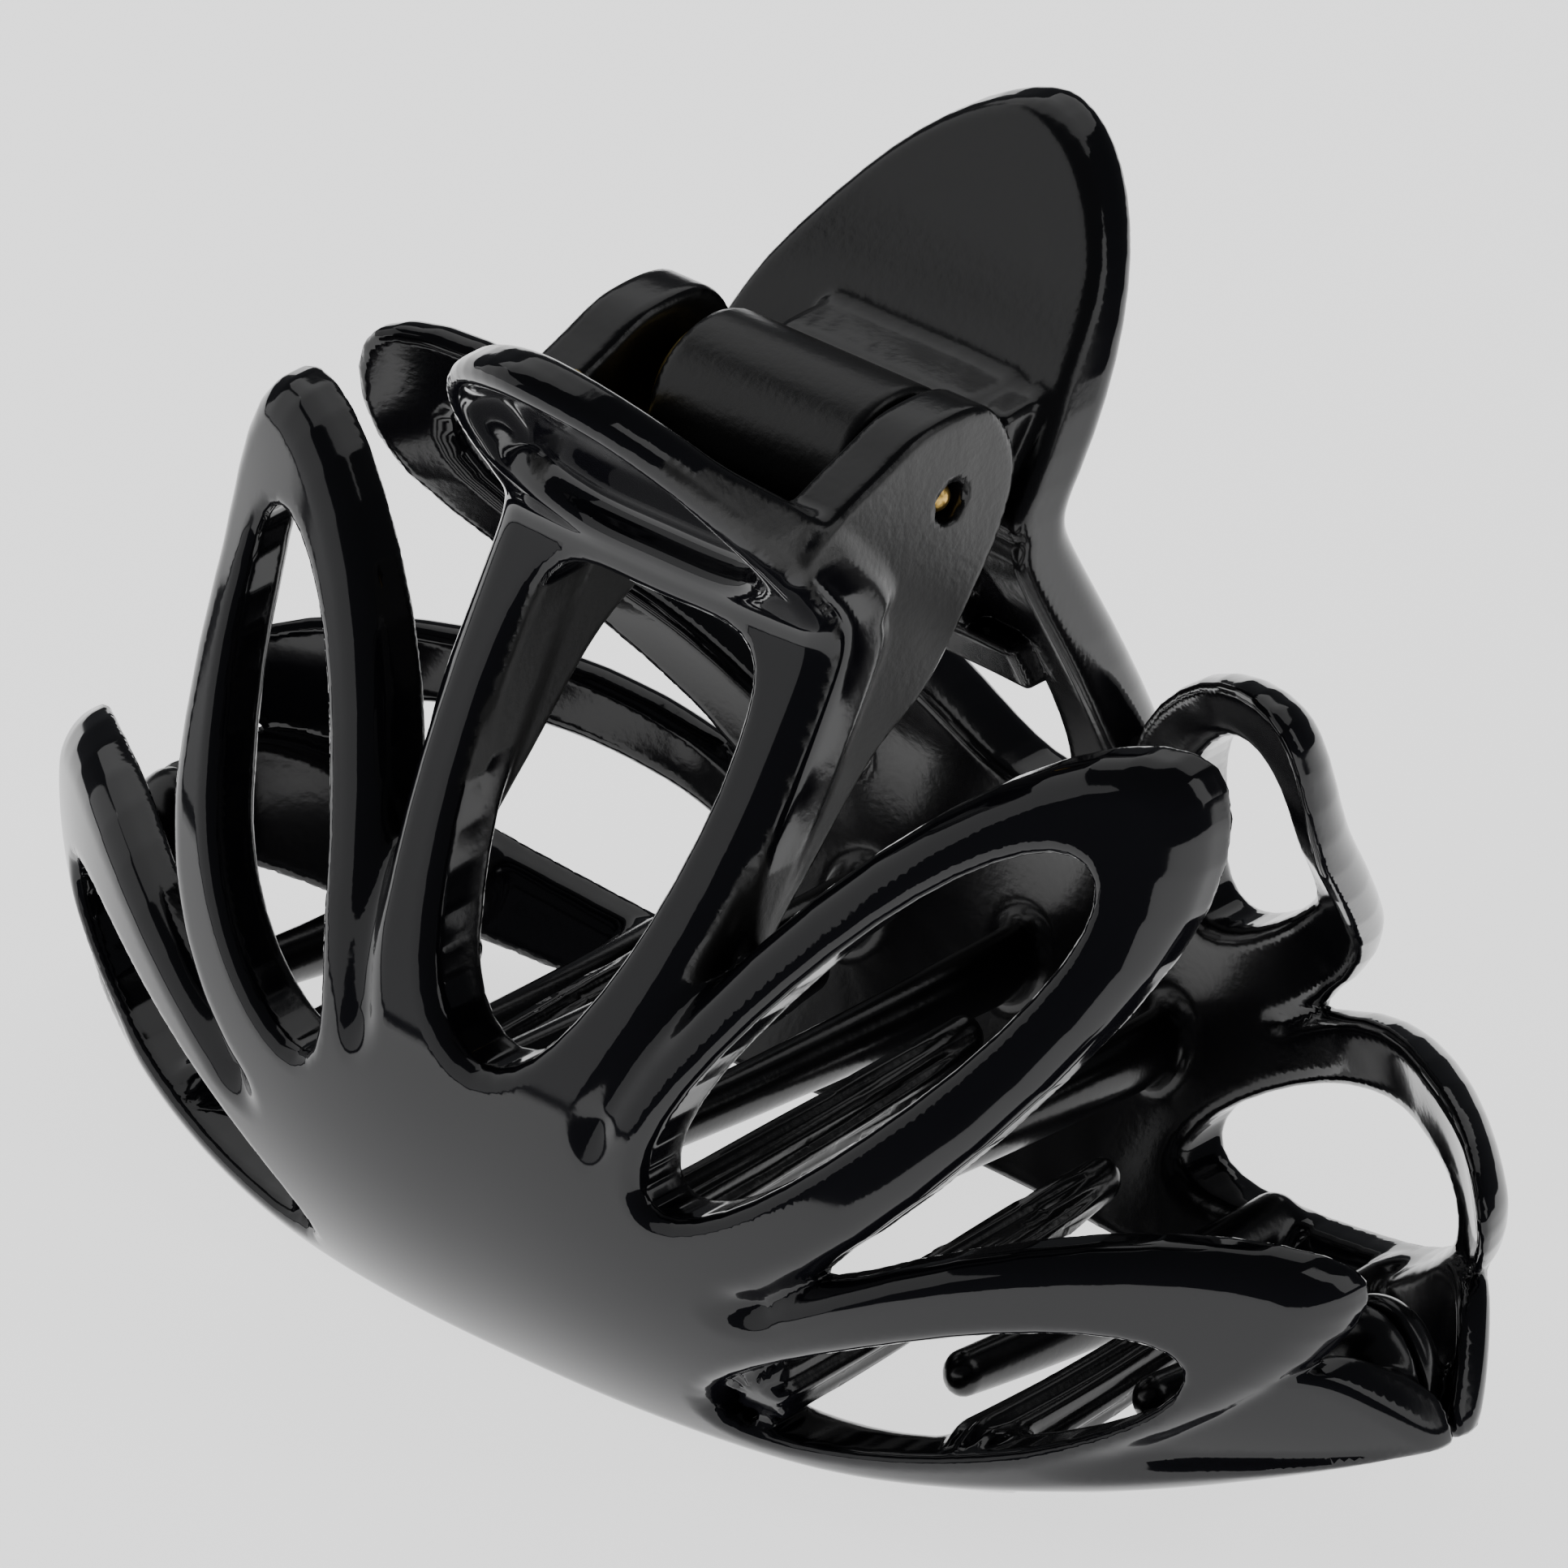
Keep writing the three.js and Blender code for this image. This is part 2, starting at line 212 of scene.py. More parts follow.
class Outline:
    """Signed distance to a closed outline, negative inside, looked up from a fine grid."""

    STEP = 0.12

    def __init__(self, loop, low, high):
        self.low = low
        u = np.arange(low[0], high[0] + self.STEP, self.STEP)[:, None]
        v = np.arange(low[1], high[1] + self.STEP, self.STEP)[None, :]
        nearest = np.full((u.shape[0], v.shape[1]), 1e9)
        inside = np.zeros(nearest.shape, bool)
        for a, b in zip(loop, np.roll(loop, -1, 0)):
            edge = b - a
            t = ((u - a[0]) * edge[0] + (v - a[1]) * edge[1]) / max(edge @ edge, 1e-12)
            t = np.clip(t, 0, 1)
            du = u - a[0] - t * edge[0]
            dv = v - a[1] - t * edge[1]
            nearest = np.minimum(nearest, du * du + dv * dv)
            if a[1] != b[1]:
                crossing = a[0] + (v - a[1]) * edge[0] / edge[1]
                inside ^= ((a[1] > v) != (b[1] > v)) & (u < crossing)
        self.grid = np.where(inside, -1, 1) * np.sqrt(nearest)

    def at(self, u, v):
        i = np.clip((u - self.low[0]) / self.STEP, 0, self.grid.shape[0] - 1.001)
        j = np.clip((v - self.low[1]) / self.STEP, 0, self.grid.shape[1] - 1.001)
        i0, j0 = i.astype(int), j.astype(int)
        s, t = i - i0, j - j0
        g = self.grid
        return ((g[i0, j0] * (1 - s) + g[i0 + 1, j0] * s) * (1 - t)
                + (g[i0, j0 + 1] * (1 - s) + g[i0 + 1, j0 + 1] * s) * t)


def bottom_edge(x):
    return max(0, END_RISE * (x * x - FOOT_HALF ** 2))


def band_loop():
    right = [(x, bottom_edge(x)) for x in (0, 7, FOOT_HALF, 20, 26, 31, 34.5)]
    right += [(HALF_LENGTH, bottom_edge(HALF_LENGTH) + 0.2), (33, 5.1), (29, 4.9)]
    right += [(24, 4.3), (18, 6.2), (12.6, 8.8), (8, 12.1), (5, 14.4), (0, 13.4)]
    return smooth_loop(both_sides(right))


def tail_loop():
    """The end of the band behind the lower petal, from the window to the tip."""
    low = [(x, bottom_edge(x) + 0.1) for x in (24, 28, 32, 34.5)]
    return smooth_loop(low + [(HALF_LENGTH, bottom_edge(HALF_LENGTH) + 0.3), (34.6, 7.6),
                              (32.6, 9), (29.5, 8.2), (26, 5.6)])


MIRROR_LOW = (-0.5, -3)
PLAN_HIGH = (HALF_LENGTH + 3, TOP + 3)
DISH = [(0, 34.4), (4, 34.6), (6.1, 36), (6, 38.2), (5, 40.8), (2.9, 42.9), (0, 43.6)]
PETAL_1 = ((6.9, 8), (24.1, 31.4), 6.1, 0.5)
PETAL_2 = ((10, 3.2), (33.8, 12.6), 4.9, 0.52)
WINDOW_1 = ((9, 12.3), (21.5, 27.7), 3.3, 0.56)
WINDOW_2 = ((10.6, 2.9), (29.3, 9.5), 2.8, 0.6)
PETAL_BLUNT = 0.55
WINDOW_BLUNT = 0.5
LUG = [(8.6, 37), (3.4, 39.7), (0.6, 40.4), (-2.3, 39.9), (-3.9, 37.4), (-3.5, 34.9), (-1.8, 32.2),
       (1, 28.8), (4.4, 26.6), (8.5, 22.4), (11.4, 20), (10.6, 26), (8, 32)]


def petal(base, tip, half_width, widest, blunt, steps=18):
    """A petal outline: widest part of the way along, then tapering to a round tip."""
    axis = np.subtract(tip, base)
    side = np.array((axis[1], -axis[0])) / np.linalg.norm(axis)
    s = 0.5 - 0.5 * np.cos(np.pi * np.linspace(0, 1, steps))
    span = np.where(s < widest, (widest - s) / widest, (s - widest) / (1 - widest))
    half = half_width * np.maximum(0, 1 - span ** 2) ** blunt
    middle = np.array(base) + s[:, None] * axis
    right = middle + half[:, None] * side
    left = middle - half[:, None] * side
    return np.concatenate([right, left[-2:0:-1]])


def curve(*controls, steps=12):
    """A Bezier curve between its first and last control points."""
    t = np.linspace(0, 1, steps)[:, None]
    points = np.array(controls, float)[:, None, :]
    while len(points) > 1:
        points = points[:-1] * (1 - t) + points[1:] * t
    return points[0]


def closed(right):
    """A right-hand side from bottom to top, closed by its mirror image."""
    return np.concatenate([right, right[::-1] * (-1, 1)])


def central_loop():
    """A tulip from the band up to the neck, then the rounded thumb paddle."""
    leg = curve((4.2, 10.5), (7, 16), (9, 22.5), (8.9, 29))
    s = np.sin(0.5 * np.pi * np.linspace(0, 1, 16))
    half = PADDLE_HALF * (1 - s * s) ** PADDLE_BLUNT
    paddle = np.stack([half, PADDLE_WIDEST + s * (PADDLE_TOP - PADDLE_WIDEST)], 1)
    return closed(np.concatenate([leg, paddle]))


def central_window_loop():
    lower = curve((0, 15), (3.2, 15.2), (5.6, 20.5), (6, 27))
    upper = curve((6, 27), (6.2, 33), (4.4, 32.2), (0, 32.2))
    return closed(np.concatenate([lower, upper]))


def plan(loop):
    return Outline(loop, MIRROR_LOW, PLAN_HIGH)


band_plan = plan(band_loop())
tail_plan = plan(tail_loop())
central_plan = plan(central_loop())
central_window_plan = plan(central_window_loop())
dish_plan = plan(smooth_loop(both_sides(DISH)))
petal_1_plan = plan(petal(*PETAL_1, PETAL_BLUNT))
petal_2_plan = plan(petal(*PETAL_2, PETAL_BLUNT))
window_1_plan = plan(petal(*WINDOW_1, WINDOW_BLUNT))
window_2_plan = plan(petal(*WINDOW_2, WINDOW_BLUNT))
lug_plan = Outline(smooth_loop(LUG), (-12, 15), (22, TOP + 3))

# ---- parts of a jaw as fields ----


def moulded(outline, face, thickness, edge=ROUND_OUT):
    """An outline pushed through the wall, rounded outside and nearly square inside."""
    return round_max(round_max(outline, face, edge), -(face + thickness), ROUND_IN)


def box_field(values, centres, halves, radius):
    out = None
    for value, centre, half in zip(values, centres, halves):
        side = np.abs(value - centre) - half
        out = side if out is None else round_max(out, side, radius)
    return out


def tooth(x, y, z, face, place, tip, ribbed):
    """A finger that leaves the wall and runs across to the other jaw, ending round."""
    height = tooth_height(place)
    root = float(outer_depth(np.float64(place), np.float64(height))) - TOOTH_ROOT
    along = np.clip((root - y) / (root - tip), 0, 1)
    dx = x - place
    dy = y - (root - along * (root - tip))
    dz = (z - height - TOOTH_RISE * along ** 2) * TOOTH_HEIGHT_SCALE
    radius = TOOTH_RADIUS - TOOTH_TAPER * along
    if ribbed:
        ribs = np.cos(TOOTH_RIBS * np.arctan2(dz, dx))
        radius = radius + RIB_DEPTH * ribs * smoothstep(1 - along, 0, 0.15)
    return np.maximum(np.sqrt(dx * dx + dy * dy + dz * dz) - radius, face + 1)


def tooth_height(place):
    outer = bottom_edge(place) + OUTER_TOOTH_HEIGHT
    drop = float(smoothstep(np.float64(abs(place)), *TOOTH_DROP_SPAN))
    return MIDDLE_TOOTH_HEIGHT + (outer - MIDDLE_TOOTH_HEIGHT) * drop


def end_petal(x, y, z):
    """The small lobe that stands at the parting plane above each end of the band."""
    offsets = zip((x, y, z), END_PETAL_CENTRE, END_PETAL_RADII)
    field = np.sqrt(sum(((value - centre) / radius) ** 2 for value, centre, radius in offsets))
    return (field - 1) * END_PETAL_SCALE


def fan(x, y, z, face, end_wall, closed_above):
    """The petals, the band and the paddle, with their windows."""
    ax = np.abs(x)
    thickness = WALL + (end_wall - WALL) * smoothstep(ax, *END_WALL_SPAN)
    thickness = thickness - TIP_THINNING * smoothstep(ax, *TIP_SPAN)
    thickness = thickness - PADDLE_THINNING * smoothstep(z, *THIN_PADDLE_SPAN)
    outline = round_min(central_plan.at(ax, z), petal_1_plan.at(ax, z), NOTCH_ROUND)
    outline = round_min(outline, petal_2_plan.at(ax, z), NOTCH_ROUND)
    outline = round_min(outline, band_plan.at(ax, z), NOTCH_ROUND)
    solid = moulded(outline, face, thickness)
    dish = round_max(dish_plan.at(ax, z), -(face + DISH_DEPTH), 1.1)
    solid = round_max(solid, -dish, DISH_ROUND)
    tail = moulded(tail_plan.at(ax, z), face + TAIL_SINK, thickness, ROUND_IN)
    solid = round_min(solid, tail, 0.2)
    solid = round_min(solid, end_petal(ax, y, z), 0.6)
    windows = np.maximum(-window_1_plan.at(ax, z), -window_2_plan.at(ax, z))
    windows = np.maximum(windows, -central_window_plan.at(ax, z))
    solid = round_max(solid, windows, RIM_ROUND)
    if closed_above is not None:
        solid = np.minimum(solid, window_closure(x, z, face, closed_above))
    return round_max(solid, PARTING_GAP - y, 0.2)


def window_closure(x, z, face, bottom):
    """The thin panel, crossbar and small block that close the upper part of a window."""
    inside_window = central_window_plan.at(np.abs(x), z) - 1
    panel = round_max(inside_window, np.abs(face + PANEL_DEPTH) - PANEL_HALF, 0.2)
    panel = round_max(panel, bottom - z, 0.3)
    bar = round_max(inside_window, np.abs(face + BAR_DEPTH) - BAR_HALF_DEPTH, 0.3)
    bar = round_max(bar, np.abs(z - bottom - BAR_HALF_HEIGHT) - BAR_HALF_HEIGHT, 0.4)
    block = box_field((x, z, face), BLOCK_CENTRE, BLOCK_HALF, 0.2)
    return round_min(round_min(panel, bar, 0.4), block, 0.2)


def hinge_distance(y, z):
    return np.hypot(y, z - HINGE)


def with_teeth(solid, x, y, z, face, places, reach, ribbed):
    for place in places:
        inner = float(outer_depth(np.float64(place), np.float64(tooth_height(place)))) - WALL
        for side in ((1,) if place == 0 else (-1, 1)):
            finger = tooth(x, y, z, face, side * place, -inner * reach, ribbed)
            solid = round_min(solid, finger, 0.8)
    return solid


def front_field(x, y, z):
    face = outside_wall(x, y, z)
    solid = fan(x, y, z, face, FRONT_END_WALL, None)
    solid = with_teeth(solid, x, y, z, face, FRONT_TEETH, FRONT_TOOTH_REACH, True)
    side = np.abs(np.abs(x) - LUG_MIDDLE) - LUG_HALF
    lug = round_max(round_max(lug_plan.at(y, z), side, 0.4), face + 0.6, 0.4)
    solid = round_min(solid, lug, 0.7)
    return round_max(solid, BORE - hinge_distance(y, z), 0.12)


def rear_field(x, y, z):
    face = outside_wall(x, y, z)
    solid = fan(x, y, z, face, REAR_END_WALL, REAR_WINDOW_TOP)
    solid = with_teeth(solid, x, y, z, face, REAR_TEETH, REAR_TOOTH_REACH, False)
    span = np.abs(x - BARREL_MIDDLE) - BARREL_HALF
    distance = hinge_distance(y, z)
    barrel = round_max(distance - BARREL_RADIUS, span, 0.4)
    web = box_field((x, y, z), WEB_CENTRE, WEB_HALF, 0.4)
    ledge = box_field((x, y, z), LEDGE_CENTRE, LEDGE_HALF, 0.35)
    rough = 0.02 * np.sin(1.3 * x + 0.7 * z) + 0.03 * np.sin(4.1 * x + 2 * np.sin(1.9 * x) + 2 * y)
    web = np.maximum(round_min(web, ledge + rough, 0.4), face + 0.4)
    solid = round_min(solid, round_min(barrel, web, 0.5), 0.5)
    pocket = round_max(distance - POCKET_RADIUS, x - POCKET_END, 0.1)
    solid = round_max(solid, -pocket, 0.15)
    return round_max(solid, BORE - distance, 0.1)


# ---- from field to mesh ----

def surface_net(values, low, pitch):
    """Vertices and quads of the zero surface of a sampled field."""
    inside = values < 0
    corners = [(i, j, k) for i in (0, 1) for j in (0, 1) for k in (0, 1)]
    shape = [n - 1 for n in values.shape]

    def corner(array, c):
        return array[c[0]:c[0] + shape[0], c[1]:c[1] + shape[1], c[2]:c[2] + shape[2]]

    count = sum(corner(inside, c).astype(np.int8) for c in corners)
    cells = np.argwhere((count > 0) & (count < 8))
    number = np.full(shape, -1)
    number[tuple(cells.T)] = np.arange(len(cells))
    total = np.zeros((len(cells), 3))
    hits = np.zeros(len(cells))
    for a in corners:
        for axis in range(3):
            if a[axis]:
                continue
            b = list(a)
            b[axis] = 1
            fa = values[tuple((cells + a).T)]
            fb = values[tuple((cells + b).T)]
            crossed = (fa < 0) != (fb < 0)
            t = np.where(crossed, fa / np.where(crossed, fa - fb, 1), 0)
            point = np.repeat([a], len(cells), 0).astype(float)
            point[:, axis] = t
            total += point * crossed[:, None]
            hits += crossed
    vertices = (cells + total / hits[:, None]) * pitch + low
    quads = []
    for axis in range(3):
        one, two = (axis + 1) % 3, (axis + 2) % 3
        ahead = np.roll(inside, -1, axis)
        changed = inside != ahead
        place = np.argwhere(changed)
        keep = (place[:, axis] < shape[axis]) & (place[:, one] > 0) & (place[:, two] > 0)
        keep &= (place[:, one] < shape[one]) & (place[:, two] < shape[two])
        place = place[keep]
        ring = []
        for back_one, back_two in ((0, 0), (1, 0), (1, 1), (0, 1)):
            cell = place.copy()
            cell[:, one] -= back_one
            cell[:, two] -= back_two
            ring.append(number[tuple(cell.T)])
        quad = np.stack(ring, 1)
        flip = ~inside[tuple(place.T)]
        quad[flip] = quad[flip][:, ::-1]
        quads.append(quad)
    return vertices, np.concatenate(quads)


def gradient(field, p):
    step = 0.2
    out = np.zeros_like(p)
    for axis in range(3):
        for sign in (-1, 1):
            q = p.copy()
            q[:, axis] += sign * step
            out[:, axis] += sign * field(*q.T)
    return out / (2 * step)


def solid_object(name, field, low, high, outward):
    """Meshes a field; outward is -1 for the front jaw, whose outer face looks along -Y."""
    axes = [np.arange(a, b + PITCH, PITCH) for a, b in zip(low, high)]
    values = field(axes[0][:, None, None], axes[1][None, :, None], axes[2][None, None, :])
    points, quads = surface_net(values, np.array(low, float), PITCH)
    for _ in range(2):
        slope = gradient(field, points)
        size = np.maximum((slope ** 2).sum(1), 0.1)
        move = field(*points.T) / size
        points -= slope * np.clip(move, -0.1, 0.1)[:, None]
    normals = gradient(field, points)
    normals /= np.maximum(np.linalg.norm(normals, axis=1), 1e-6)[:, None]
    if outward < 0:
        points[:, 1] *= -1
        normals[:, 1] *= -1
        quads = quads[:, ::-1]
    mesh = bpy.data.meshes.new(name)
    mesh.from_pydata((points * MM).tolist(), [], quads.tolist())
    mesh.update()
    mesh.shade_smooth()
    mesh.normals_split_custom_set_from_vertices(normals.tolist())
    made = bpy.data.objects.new(name, mesh)
    bpy.context.scene.collection.objects.link(made)
    return made, points, normals


# ---- materials ----

def new_material(name):
    material = bpy.data.materials.new(name)
    material.use_nodes = True
    nodes = material.node_tree.nodes
    return material, nodes, material.node_tree.links, nodes["Principled BSDF"]


def noise_node(nodes, links, scale, detail, stretch=(1, 1, 1)):
    coordinates = nodes.new("ShaderNodeTexCoord")
    mapping = nodes.new("ShaderNodeMapping")
    mapping.inputs["Scale"].default_value = stretch
    noise = nodes.new("ShaderNodeTexNoise")
    noise.inputs["Scale"].default_value = scale
    noise.inputs["Detail"].default_value = detail
    links.new(coordinates.outputs["Object"], mapping.inputs["Vector"])
    links.new(mapping.outputs["Vector"], noise.inputs["Vector"])
    return noise


def ranged(nodes, links, source, low, high, start=0.0, stop=1.0):
    node = nodes.new("ShaderNodeMapRange")
    node.inputs["From Min"].default_value = start
    node.inputs["From Max"].default_value = stop
    node.inputs["To Min"].default_value = low
    node.inputs["To Max"].default_value = high
    links.new(source, node.inputs["Value"])
    return node.outputs["Result"]


def combine(nodes, links, operation, a, b):
    node = nodes.new("ShaderNodeMath")
    node.operation = operation
    links.new(a, node.inputs[0])
    links.new(b, node.inputs[1])
    return node.outputs[0]


def add_bump(nodes, links, shader, height, distance):
    bump = nodes.new("ShaderNodeBump")
    bump.inputs["Distance"].default_value = distance
    links.new(height, bump.inputs["Height"])
    links.new(bump.outputs["Normal"], shader.inputs["Normal"])
    return bump


def moulded_plastic():
    """Black plastic, polished outside; the satin attribute marks the duller moulded faces."""
    material, nodes, links, shader = new_material("black_moulded_plastic")
    satin = nodes.new("ShaderNodeAttribute")
    satin.attribute_name = "satin"
    smudge = noise_node(nodes, links, 90, 4)
    grain = noise_node(nodes, links, 2600, 3)
    streak = noise_node(nodes, links, 500, 5, (0.25, 1, 0.12))
    polished = ranged(nodes, links, smudge.outputs["Fac"], 0.035, 0.11, 0.35, 0.75)
    dull = ranged(nodes, links, streak.outputs["Fac"], 0.3, 0.44, 0.3, 0.7)
    mix = nodes.new("ShaderNodeMix")
    links.new(satin.outputs["Fac"], mix.inputs["Factor"])
    links.new(polished, mix.inputs["A"])
    links.new(dull, mix.inputs["B"])
    links.new(mix.outputs["Result"], shader.inputs["Roughness"])
    colour = nodes.new("ShaderNodeMix")
    colour.data_type = "RGBA"
    colour.inputs["A"].default_value = (0.0045, 0.0045, 0.006, 1)
    colour.inputs["B"].default_value = (0.007, 0.0068, 0.0068, 1)
    links.new(satin.outputs["Fac"], colour.inputs["Factor"])
    links.new(colour.outputs["Result"], shader.inputs["Base Color"])
    shader.inputs["IOR"].default_value = 1.5
    shader.inputs["Specular IOR Level"].default_value = 0.42
    lines = combine(nodes, links, "MULTIPLY", streak.outputs["Fac"], satin.outputs["Fac"])
    height = combine(nodes, links, "ADD", grain.outputs["Fac"], lines)
    bump = add_bump(nodes, links, shader, height, 0.00002)
    links.new(ranged(nodes, links, satin.outputs["Fac"], 0.05, 1.0), bump.inputs["Strength"])
    return material


def yellow_metal(name, colour, roughness):
    """Brass-plated wire: drawing marks along it and faint tarnish."""
    material, nodes, links, shader = new_material(name)
    tarnish = noise_node(nodes, links, 400, 4)
    marks = noise_node(nodes, links, 4000, 2, (3, 1, 1))
    mix = nodes.new("ShaderNodeMix")
    mix.data_type = "RGBA"
    mix.inputs["A"].default_value = (*colour, 1)
    mix.inputs["B"].default_value = (*(0.6 * c for c in colour), 1)
    links.new(ranged(nodes, links, tarnish.outputs["Fac"], 0, 1, 0.45, 0.75), mix.inputs["Factor"])
    links.new(mix.outputs["Result"], shader.inputs["Base Color"])
    shader.inputs["Metallic"].default_value = 1
    links.new(ranged(nodes, links, tarnish.outputs["Fac"], roughness, 2 * roughness),
              shader.inputs["Roughness"])
    add_bump(nodes, links, shader, marks.outputs["Fac"], 0.00001)
    return material


# ---- pieces ----

SATIN_SPAN = (1.6, 2.6)
INNER_SATIN = 0.45
BARREL_SATIN = 0.8


def mark_satin(made, satin):
    attribute = made.data.attributes.new("satin", "FLOAT", "POINT")
    attribute.data.foreach_set("value", np.clip(satin, 0, 1).astype(np.float32))


def inner_share(points):
    """From 0 on the polished outer face to 1 on the inner side of the wall."""
    x, y, z = points[:, 0], np.abs(points[:, 1]), points[:, 2]
    return smoothstep(-outside_wall(x, y, z), *SATIN_SPAN)


plastic = moulded_plastic()
MARGIN = 1
FRONT_TEETH_END = -9.5
REAR_TEETH_END = -12


def make_front_jaw():
    low = (-HALF_LENGTH - MARGIN, FRONT_TEETH_END, -MARGIN)
    high = (HALF_LENGTH + MARGIN, BOWL_DEPTH + MARGIN, TOP + MARGIN)
    made, points, normals = solid_object("front_jaw_moulding", front_field, low, high, -1)
    lug = (np.abs(normals[:, 0]) > 0.8) & (np.abs(points[:, 0]) < LUG_OUTER + 0.2)
    lug &= (np.abs(points[:, 0]) > LUG_OUTER - 3) & (points[:, 2] > 20)
    satin = np.maximum(INNER_SATIN * inner_share(points), lug)
    mark_satin(made, satin)
    made.data.materials.append(plastic)
    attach(made, "front")
    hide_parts("front_jaw")


def make_rear_jaw():
    low = (-HALF_LENGTH - MARGIN, REAR_TEETH_END, -MARGIN)
    high = (HALF_LENGTH + MARGIN, BOWL_DEPTH + MARGIN, TOP + MARGIN)
    made, points, normals = solid_object("rear_jaw_moulding", rear_field, low, high, 1)
    barrel = hinge_distance(points[:, 1], points[:, 2]) < BARREL_RADIUS + 0.3
    barrel &= np.abs(points[:, 0]) < BARREL[1] + 0.2
    satin = np.maximum(INNER_SATIN * inner_share(points), BARREL_SATIN * barrel)
    mark_satin(made, satin)
    made.data.materials.append(plastic)
    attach(made, "rear")
    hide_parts("rear_jaw")


def swept_wire(name, path, radius, sides=14):
    """A round wire along a list of points, closed by domed ends."""
    p = np.array(path)
    tangent = np.gradient(p, axis=0)
    tangent /= np.linalg.norm(tangent, axis=1)[:, None]
    side = np.cross(tangent, (1, 0.001, 0))
    side /= np.linalg.norm(side, axis=1)[:, None]
    other = np.cross(tangent, side)
    rings = []
    dome = [(-1.0, 0.15), (-0.8, 0.6), (-0.4, 0.92)]
    ends = [(0, back, width) for back, width in dome]
    middle = [(i, 0, 1) for i in range(len(p))]
    stations = ends + middle + [(len(p) - 1, -back, width) for back, width in reversed(dome)]
    for i, shift, width in stations:
        centre = p[i] + tangent[i] * shift * radius
        turn = 2 * np.pi * np.arange(sides)[:, None] / sides
        rings.append(centre + width * radius * (np.cos(turn) * side[i] + np.sin(turn) * other[i]))
    vertices = np.concatenate(rings)
    faces = []
    for ring in range(len(rings) - 1):
        for k in range(sides):
            n = (k + 1) % sides
            faces.append((ring * sides + k, ring * sides + n,
                          (ring + 1) * sides + n, (ring + 1) * sides + k))
    faces.append(tuple(reversed(range(sides))))
    faces.append(tuple(range(len(vertices) - sides, len(vertices))))
    mesh = bpy.data.meshes.new(name)
    mesh.from_pydata((vertices * MM).tolist(), [], faces)
    mesh.update()
    mesh.shade_smooth()
    made = bpy.data.objects.new(name, mesh)
    bpy.context.scene.collection.objects.link(made)
    return made


WIRE_RADIUS = 0.38
COIL_RADIUS = 2.55
COIL_TURNS = 4.25
LEG_LENGTH = 7
LEG_TILT = math.radians(46)


def make_spring():
    low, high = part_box("torsion_spring")
    left, right = low[0] / MM + WIRE_RADIUS, high[0] / MM - WIRE_RADIUS
    start = math.pi + LEG_TILT
    path = []
    for back in np.linspace(LEG_LENGTH, 0, 16, endpoint=False):
        path.append((left, COIL_RADIUS * math.cos(start) + back * math.sin(start),
                     HINGE + COIL_RADIUS * math.sin(start) - back * math.cos(start)))
    for t in np.linspace(0, 1, 40 * math.ceil(COIL_TURNS)):
        angle = start + 2 * math.pi * COIL_TURNS * t
        path.append((left + t * (right - left), COIL_RADIUS * math.cos(angle),
                     HINGE + COIL_RADIUS * math.sin(angle)))
    made = swept_wire("torsion_spring_wire", path, WIRE_RADIUS)
    made.data.materials.append(yellow_metal("brass_plated_spring", (0.95, 0.72, 0.26), 0.24))
    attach(made, "front")
    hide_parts("torsion_spring")


def make_pin():
    low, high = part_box("hinge_pin")
    radius = (high[2] - low[2]) / 2 / MM
    made = rod_along_x("hinge_pin_rod", low[0] / MM + radius, high[0] / MM - radius, radius)
    made.data.materials.append(yellow_metal("brass_pin", (0.7, 0.46, 0.13), 0.22))
    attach(made, "front")
    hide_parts("hinge_pin")


def rod_along_x(name, start, stop, radius):
    """A straight rod on the hinge axis: it is swept along Y and then turned onto X."""
    path = [(0, place, 0) for place in np.linspace(start, stop, 12)]
    made = swept_wire(name, path, radius, 24)
    made.data.transform(Matrix.Rotation(-math.pi / 2, 4, "Z"))
    made.data.transform(Matrix.Translation((0, 0, HINGE * MM)))
    return made


make_front_jaw()
make_rear_jaw()
make_pin()
make_spring()

# ---- floor, light and camera ----


def make_floor():
    mesh = bpy.data.meshes.new("floor")
    size = 1.2
    mesh.from_pydata([(-size, -size, 0), (size, -size, 0), (size, size, 0), (-size, size, 0)],
                     [], [(0, 1, 2, 3)])
    floor = bpy.data.objects.new("floor", mesh)
    bpy.context.scene.collection.objects.link(floor)
    material, _, _, shader = new_material("pale_floor")
    shader.inputs["Base Color"].default_value = (0.9, 0.9, 0.9, 1)
    shader.inputs["Roughness"].default_value = 0.8
    shader.inputs["Emission Color"].default_value = (1, 1, 1, 1)
    shader.inputs["Emission Strength"].default_value = 1.5
    mesh.materials.append(material)
    floor.location.z = CAD_LOW.z


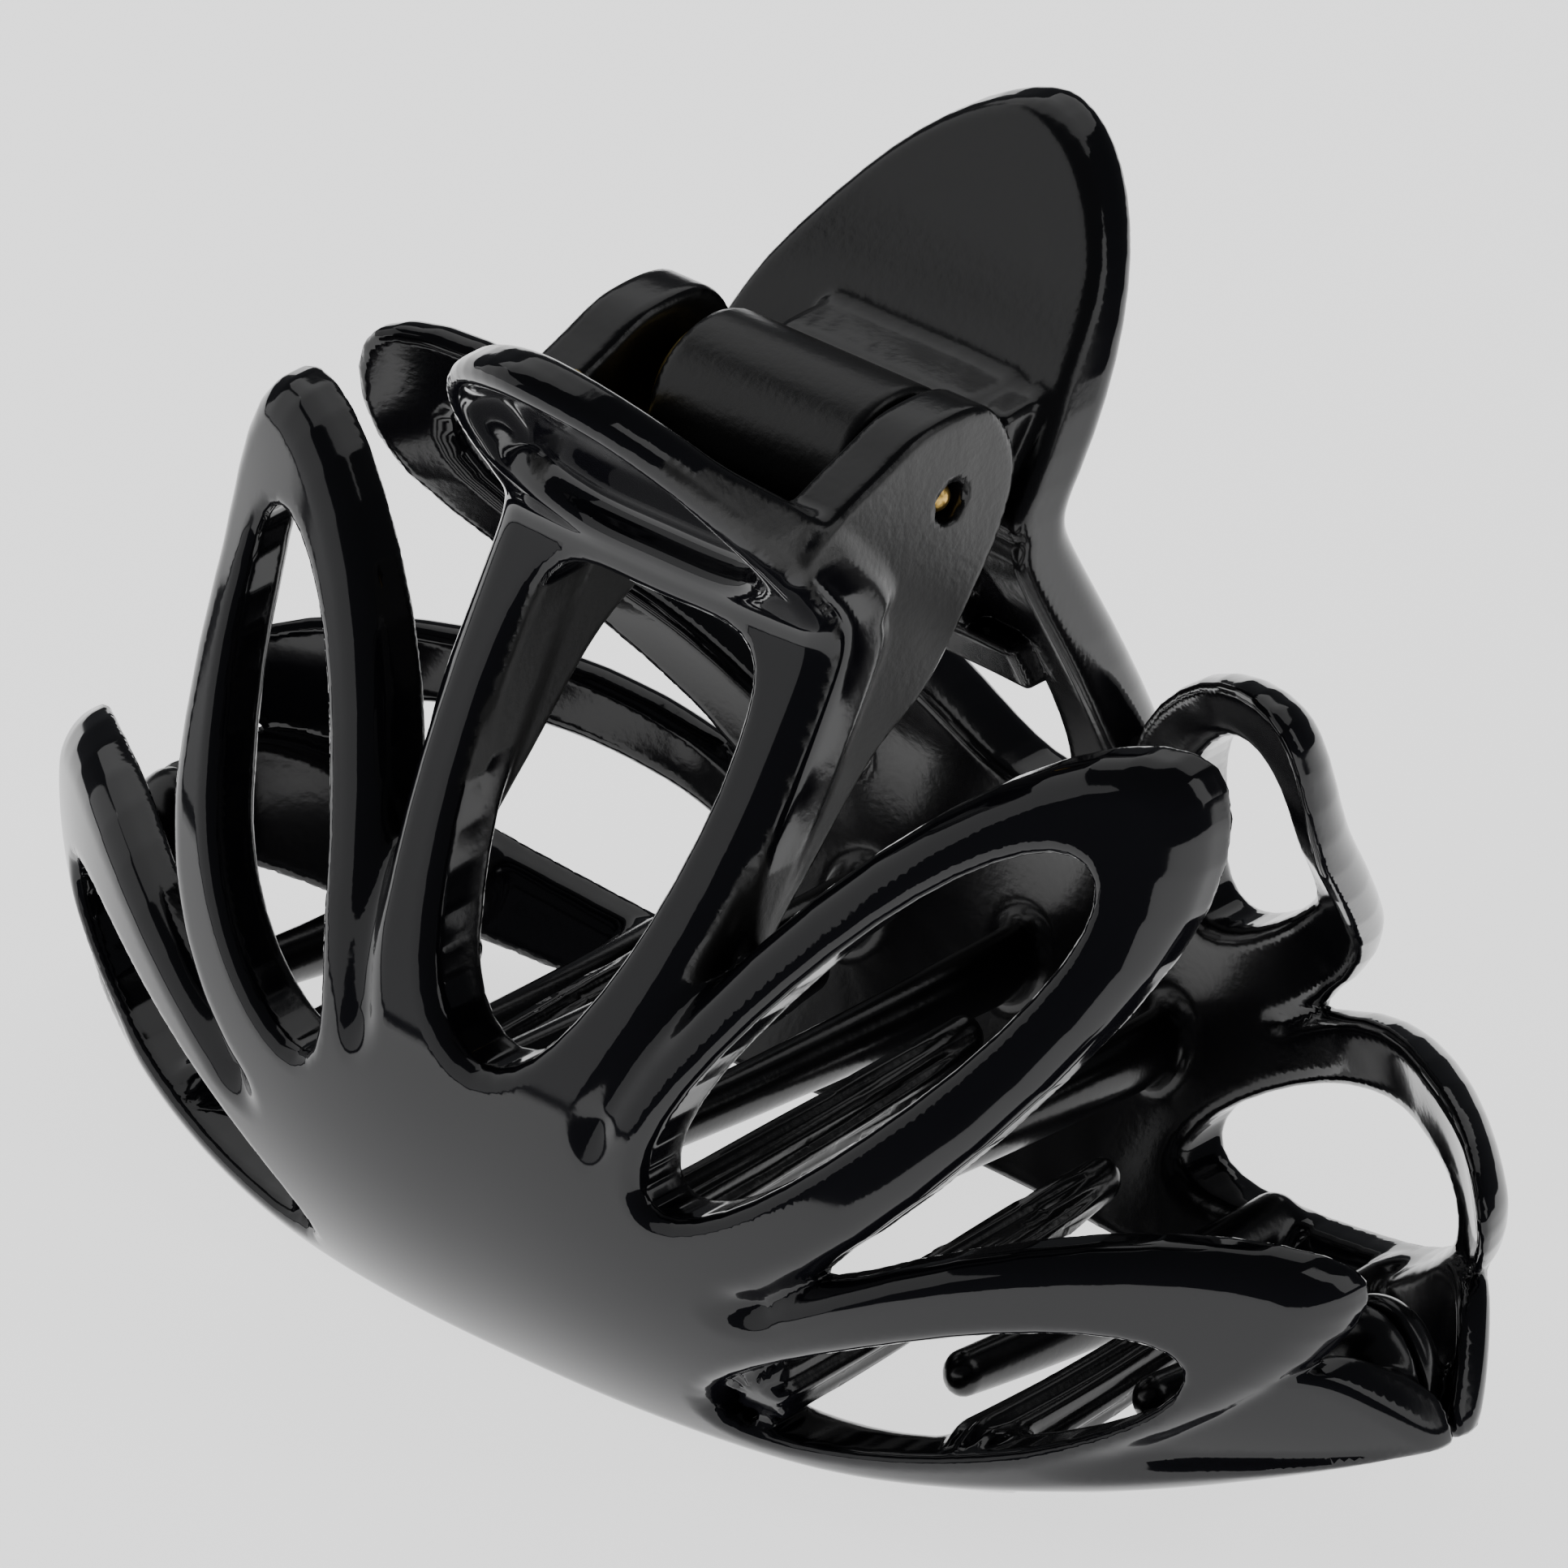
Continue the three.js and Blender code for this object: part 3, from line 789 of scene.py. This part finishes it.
def softbox(name, azimuth, elevation, distance, width, height, power):
    light = bpy.data.lights.new(name, "AREA")
    light.shape = "RECTANGLE"
    light.size, light.size_y, light.energy = width, height, power
    lamp = bpy.data.objects.new(name, light)
    a, e = math.radians(azimuth), math.radians(elevation)
    back = Vector((math.sin(a) * math.cos(e), -math.cos(a) * math.cos(e), math.sin(e)))
    lamp.location = Vector((0, 0, 0.02)) + back * distance
    lamp.rotation_euler = back.to_track_quat("Z", "Y").to_euler()
    bpy.context.scene.collection.objects.link(lamp)


def make_world():
    world = bpy.data.worlds.new("studio")
    world.use_nodes = True
    background = world.node_tree.nodes["Background"]
    background.inputs["Color"].default_value = (0.9, 0.93, 1, 1)
    background.inputs["Strength"].default_value = 0.08
    bpy.context.scene.world = world


AZIMUTH, ELEVATION, ROLL = (math.radians(v) for v in (41.113, 28.662, 1.312))
CAMERA_DISTANCE = 1.2002
TARGET = Vector((0, 0, 0.0236))
PAN = (0.000117, -0.00247)
LENS = 696.5
SENSOR = 36


def make_camera():
    camera = bpy.data.objects.new("camera", bpy.data.cameras.new("camera"))
    camera.data.sensor_width = SENSOR
    camera.data.lens = LENS
    camera.data.clip_end = 10
    back = Vector((math.sin(AZIMUTH) * math.cos(ELEVATION),
                   -math.cos(AZIMUTH) * math.cos(ELEVATION), math.sin(ELEVATION)))
    right = Vector((math.cos(AZIMUTH), math.sin(AZIMUTH), 0))
    up = back.cross(right)
    rolled_right = right * math.cos(ROLL) + up * math.sin(ROLL)
    rolled_up = up * math.cos(ROLL) - right * math.sin(ROLL)
    camera.matrix_world = Matrix((rolled_right, rolled_up, back)).transposed().to_4x4()
    aim = TARGET + rolled_right * PAN[0] + rolled_up * PAN[1]
    camera.location = aim + back * CAMERA_DISTANCE
    bpy.context.scene.collection.objects.link(camera)
    bpy.context.scene.camera = camera


make_floor()
make_world()
softbox("left_wall", -55, 28, 0.5, 0.8, 0.5, 1.1)
softbox("back_top", -140, 50, 0.5, 0.5, 0.4, 0.5)
softbox("right_strip", 120, 30, 0.5, 0.2, 0.4, 0.35)
make_camera()
